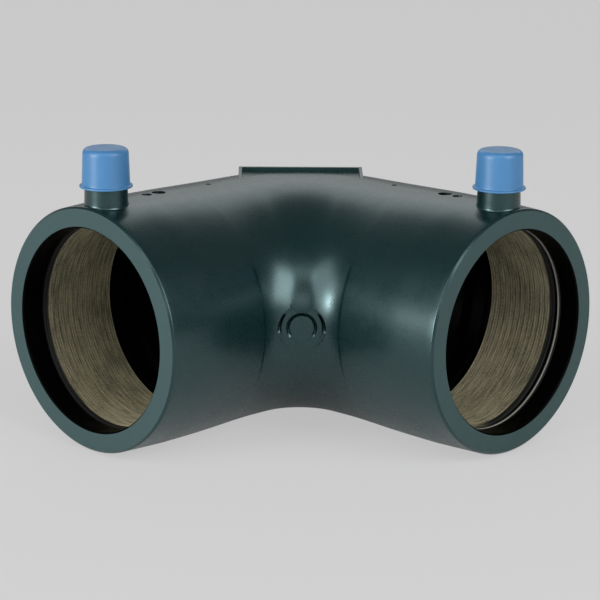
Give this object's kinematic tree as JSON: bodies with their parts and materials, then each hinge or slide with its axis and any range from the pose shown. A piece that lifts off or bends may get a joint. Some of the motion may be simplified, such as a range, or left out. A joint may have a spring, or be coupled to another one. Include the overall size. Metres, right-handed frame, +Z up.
{
  "type": "electrofusion elbow",
  "caption": "Right-angle pipe elbow whose sockets hold heating wire in their bores, with capped contact terminals on top.",
  "frame": {"origin": "on the floor, under the middle of the elbow's overall box", "axes": "+X across the elbow from the left socket to the right one, +Y from the mouths to the back of the bend, +Z up along the terminals"},
  "size_m": [0.1834, 0.121, 0.0949],
  "materials": {
    "body": "satin",
    "cap": "satin",
    "coil_wire": "satin",
    "pin": "satin",
    "indicator": "satin"
  },
  "bodies": {
    "root": {"elbow_body": "body", "heating_coil_left": "coil_wire", "heating_coil_right": "coil_wire", "link_wire": "coil_wire", "terminal_pin_left": "pin", "terminal_pin_right": "pin", "terminal_cap_left": "cap", "terminal_cap_right": "cap", "fusion_indicator_left": "indicator", "fusion_indicator_right": "indicator"}
  },
  "joints": []
}
